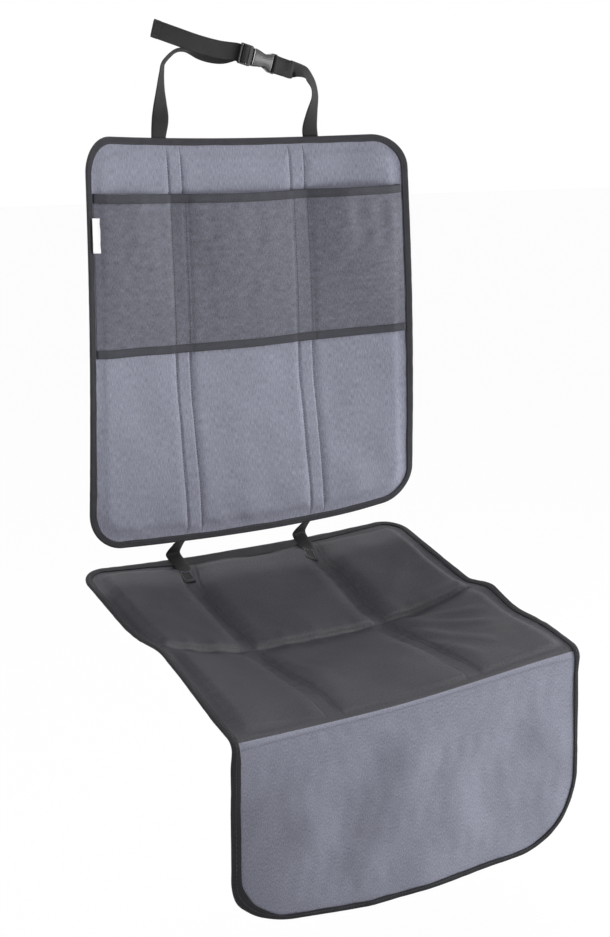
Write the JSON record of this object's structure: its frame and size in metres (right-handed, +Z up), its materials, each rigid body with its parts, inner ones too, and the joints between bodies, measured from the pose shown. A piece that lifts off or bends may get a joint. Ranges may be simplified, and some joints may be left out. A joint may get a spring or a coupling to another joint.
{
  "type": "car seat protector",
  "caption": "Padded car seat protector in grey and charcoal cloth with a mesh pocket on the back panel, a buckled headrest strap and a hanging front flap",
  "frame": {"origin": "the middle of the back panel's top edge, where the headrest strap holds the protector up", "axes": "+Z up along the hung protector, +X across the seat to the viewer's right, -Y to the front of the seat"},
  "size_m": [0.46, 0.3969, 0.9543],
  "materials": {
    "melange": "woven grey melange",
    "coated": "coated woven cloth",
    "mesh": "fine knitted mesh",
    "binding": "ribbed edge tape",
    "webbing": "woven webbing",
    "backing": "plain lining cloth",
    "foam": "soft polyurethane foam",
    "buckle": "moulded acetal",
    "tag": "bare satin tape"
  },
  "bodies": {
    "root": {"back_edge_binding": "binding", "back_face_panel": "melange", "back_lining": "backing", "back_pad_left": "foam", "back_pad_middle": "foam", "back_pad_right": "foam", "buckle_plug": "buckle", "buckle_socket": "buckle", "connector_strap_left": "webbing", "connector_strap_right": "webbing", "flap_face_panel": "melange", "headrest_strap_left": "webbing", "headrest_strap_right": "webbing", "pocket_foot_tape": "binding", "pocket_mesh": "mesh", "pocket_top_binding": "binding", "seat_edge_binding": "binding", "seat_face_panel": "coated", "seat_lining": "backing", "seat_pad_front_left": "foam", "seat_pad_front_middle": "foam", "seat_pad_front_right": "foam", "seat_pad_rear_left": "foam", "seat_pad_rear_middle": "foam", "seat_pad_rear_right": "foam", "side_tag": "tag"}
  },
  "joints": []
}
